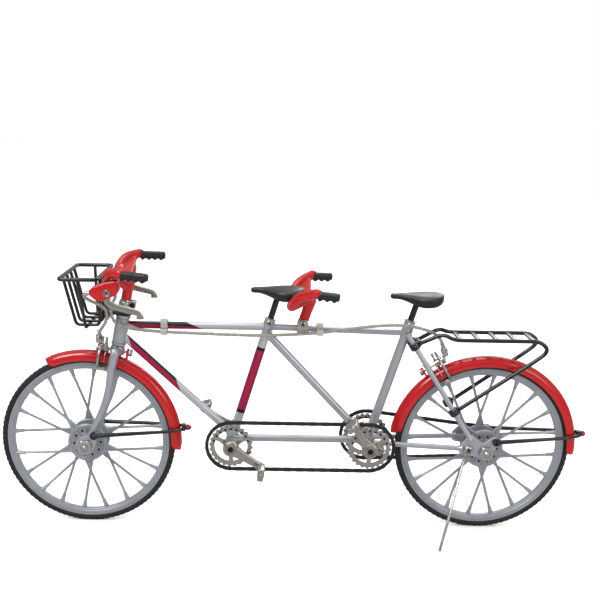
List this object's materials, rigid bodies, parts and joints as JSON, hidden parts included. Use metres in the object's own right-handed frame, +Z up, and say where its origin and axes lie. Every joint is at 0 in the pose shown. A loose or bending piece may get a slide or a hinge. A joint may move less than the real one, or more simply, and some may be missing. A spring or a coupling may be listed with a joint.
{
  "type": "tandem bicycle",
  "caption": "Desk-size tandem bicycle with two saddles and cranks, chains, wire basket, rear rack, fenders and a side stand.",
  "frame": {"origin": "centre of the bounding box's foot, on the ground under the middle of the frame", "axes": "+Z up, -X forward (the front wheel is at -X), -Y the bicycle's left side"},
  "size_m": [0.2288, 0.057, 0.1058],
  "materials": {
    "silver_paint": "satin silver paint over die-cast metal",
    "bright_chrome": "bright plated metal",
    "clear_plastic": "clear moulded nylon",
    "cable_sleeve": "grey translucent PVC sleeve",
    "red_plastic": "glossy red moulded ABS",
    "red_lens": "red translucent acrylic",
    "black_wire": "black enamelled wire",
    "black_chain": "black moulded chain",
    "grey_plastic": "silver-grey moulded ABS",
    "tyre_rubber": "matt black rubber",
    "black_plastic": "satin black moulded ABS",
    "grip_rubber": "soft black rubber"
  },
  "bodies": {
    "frame": {"head_tube": "silver_paint", "top_tube": "silver_paint", "down_tube": "silver_paint", "front_seat_tube": "silver_paint", "rear_seat_tube": "silver_paint", "diagonal_tube": "silver_paint", "boom_tube": "silver_paint", "spindle_shells": "silver_paint", "chain_stays": "silver_paint", "seat_stays": "silver_paint", "frame_screws": "bright_chrome", "rear_bar_clamp": "bright_chrome", "cable_clips": "clear_plastic", "rear_brake_cable": "cable_sleeve", "rear_fender": "red_plastic", "rear_fender_stays": "black_wire", "rear_reflector": "red_lens", "rear_rack": "black_wire", "rear_axle": "bright_chrome", "side_chain": "black_chain", "drive_chain": "black_chain", "rear_brake_bolt": "bright_chrome"},
    "steering": {"fork": "silver_paint", "stem_clamp": "bright_chrome", "front_handlebar": "red_plastic", "brake_hoods": "red_plastic", "front_grips": "grip_rubber", "basket": "black_wire", "basket_bracket": "black_wire", "front_fender": "red_plastic", "front_fender_stays": "black_wire", "front_reflector": "red_lens", "front_brake_cable": "cable_sleeve", "rear_cable_lead": "cable_sleeve", "front_axle": "bright_chrome", "front_brake_bolt": "bright_chrome"},
    "front_wheel_set": {"front_wheel": "grey_plastic", "front_tyre": "tyre_rubber"},
    "rear_wheel_set": {"rear_wheel": "grey_plastic", "rear_tyre": "tyre_rubber"},
    "freewheel": {"rear_sprocket": "bright_chrome"},
    "front_crank": {"front_crankset": "bright_chrome", "front_chainring": "bright_chrome"},
    "rear_crank": {"rear_crankset": "bright_chrome", "rear_chainrings": "bright_chrome"},
    "pedal_fl": {"front_left_pedal": "bright_chrome"},
    "pedal_fr": {"front_right_pedal": "bright_chrome"},
    "pedal_rl": {"rear_left_pedal": "bright_chrome"},
    "pedal_rr": {"rear_right_pedal": "bright_chrome"},
    "left_lever": {"left_brake_lever": "bright_chrome"},
    "right_lever": {"right_brake_lever": "bright_chrome"},
    "brake_fl": {"front_left_brake_arm": "bright_chrome"},
    "brake_fr": {"front_right_brake_arm": "bright_chrome"},
    "brake_rl": {"rear_left_brake_arm": "bright_chrome"},
    "brake_rr": {"rear_right_brake_arm": "bright_chrome"},
    "front_saddle_set": {"front_saddle": "black_plastic"},
    "rear_saddle_set": {"rear_saddle": "black_plastic"},
    "stand": {"kickstand": "bright_chrome"},
    "stoker_bar": {"rear_handlebar": "red_plastic", "rear_grips": "grip_rubber"}
  },
  "joints": [
    {"name": "steer", "type": "hinge", "parent": "frame", "child": "steering", "pos_m": [-0.06663, 0, 0.07862], "axis": [0.1908, 0, 0.9816], "range_deg": [-40, 40], "deforming": ["rear_cable_lead"]},
    {"name": "front_wheel_spin", "type": "hinge", "parent": "steering", "child": "front_wheel_set", "pos_m": [-0.0804, 0, 0.034], "axis": [0, 1, 0], "continuous": true},
    {"name": "rear_wheel_spin", "type": "hinge", "parent": "frame", "child": "rear_wheel_set", "pos_m": [0.0739, 0, 0.034], "axis": [0, 1, 0], "continuous": true},
    {"name": "rear_crank_turn", "type": "hinge", "parent": "frame", "child": "rear_crank", "pos_m": [0.0289, 0, 0.0358], "axis": [0, 1, 0], "continuous": true},
    {"name": "front_crank_turn", "type": "hinge", "parent": "frame", "child": "front_crank", "pos_m": [-0.0241, 0, 0.0358], "axis": [0, 1, 0], "continuous": true},
    {"name": "freewheel_turn", "type": "hinge", "parent": "frame", "child": "freewheel", "pos_m": [0.0739, 0, 0.034], "axis": [0, 1, 0], "continuous": true},
    {"name": "pedal_fl_turn", "type": "hinge", "parent": "front_crank", "child": "pedal_fl", "pos_m": [-0.01246, -0.018, 0.02839], "axis": [0, 1, 0], "continuous": true},
    {"name": "pedal_fr_turn", "type": "hinge", "parent": "front_crank", "child": "pedal_fr", "pos_m": [-0.03574, 0.018, 0.04321], "axis": [0, 1, 0], "continuous": true},
    {"name": "pedal_rl_turn", "type": "hinge", "parent": "rear_crank", "child": "pedal_rl", "pos_m": [0.02138, -0.018, 0.04737], "axis": [0, 1, 0], "continuous": true},
    {"name": "pedal_rr_turn", "type": "hinge", "parent": "rear_crank", "child": "pedal_rr", "pos_m": [0.03642, 0.018, 0.02423], "axis": [0, 1, 0], "continuous": true},
    {"name": "left_lever_pull", "type": "hinge", "parent": "steering", "child": "left_lever", "pos_m": [-0.06764, -0.02, 0.09681], "axis": [0, -1, 0], "range_deg": [0, 16], "stiffness_Nm_per_rad": 0.0005, "springref_deg": -11.46},
    {"name": "right_lever_pull", "type": "hinge", "parent": "steering", "child": "right_lever", "pos_m": [-0.06764, 0.02, 0.09681], "axis": [0, -1, 0], "range_deg": [0, 16], "stiffness_Nm_per_rad": 0.0005, "springref_deg": -11.46},
    {"name": "brake_fl_close", "type": "hinge", "parent": "steering", "child": "brake_fl", "pos_m": [-0.07353, 0, 0.07145], "axis": [0.9816, 0, -0.1908], "range_deg": [0, 2.2]},
    {"name": "brake_fr_close", "type": "hinge", "parent": "steering", "child": "brake_fr", "pos_m": [-0.07353, 0, 0.07145], "axis": [-0.9816, 0, 0.1908], "range_deg": [0, 2.2]},
    {"name": "brake_rl_close", "type": "hinge", "parent": "frame", "child": "brake_rl", "pos_m": [0.05495, 0, 0.06772], "axis": [0.841, 0, 0.5411], "range_deg": [0, 2.2]},
    {"name": "brake_rr_close", "type": "hinge", "parent": "frame", "child": "brake_rr", "pos_m": [0.05495, 0, 0.06772], "axis": [-0.841, 0, -0.5411], "range_deg": [0, 2.2]},
    {"name": "front_saddle_height", "type": "slide", "parent": "frame", "child": "front_saddle_set", "axis": [0.2874, 0, 0.9578], "range_m": [0, 0.004]},
    {"name": "rear_saddle_height", "type": "slide", "parent": "frame", "child": "rear_saddle_set", "axis": [0.2874, 0, 0.9578], "range_m": [-0.003, 0.004]},
    {"name": "stand_fold", "type": "hinge", "parent": "frame", "child": "stand", "pos_m": [0.0668, -0.0087, 0.0355], "axis": [0, -1, 0], "range_deg": [0, 68]},
    {"name": "stoker_bar_tilt", "type": "hinge", "parent": "frame", "child": "stoker_bar", "pos_m": [0.00253, 0, 0.08226], "axis": [0, 1, 0], "range_deg": [-2, 15]}
  ],
  "couplings": [
    {"joint": "front_crank_turn", "follows": "rear_crank_turn", "ratio": 1},
    {"joint": "freewheel_turn", "follows": "rear_crank_turn", "ratio": 1.7308},
    {"joint": "brake_fl_close", "follows": "left_lever_pull", "ratio": 0.1375},
    {"joint": "brake_fr_close", "follows": "left_lever_pull", "ratio": 0.1375},
    {"joint": "brake_rl_close", "follows": "right_lever_pull", "ratio": 0.1375},
    {"joint": "brake_rr_close", "follows": "right_lever_pull", "ratio": 0.1375}
  ]
}
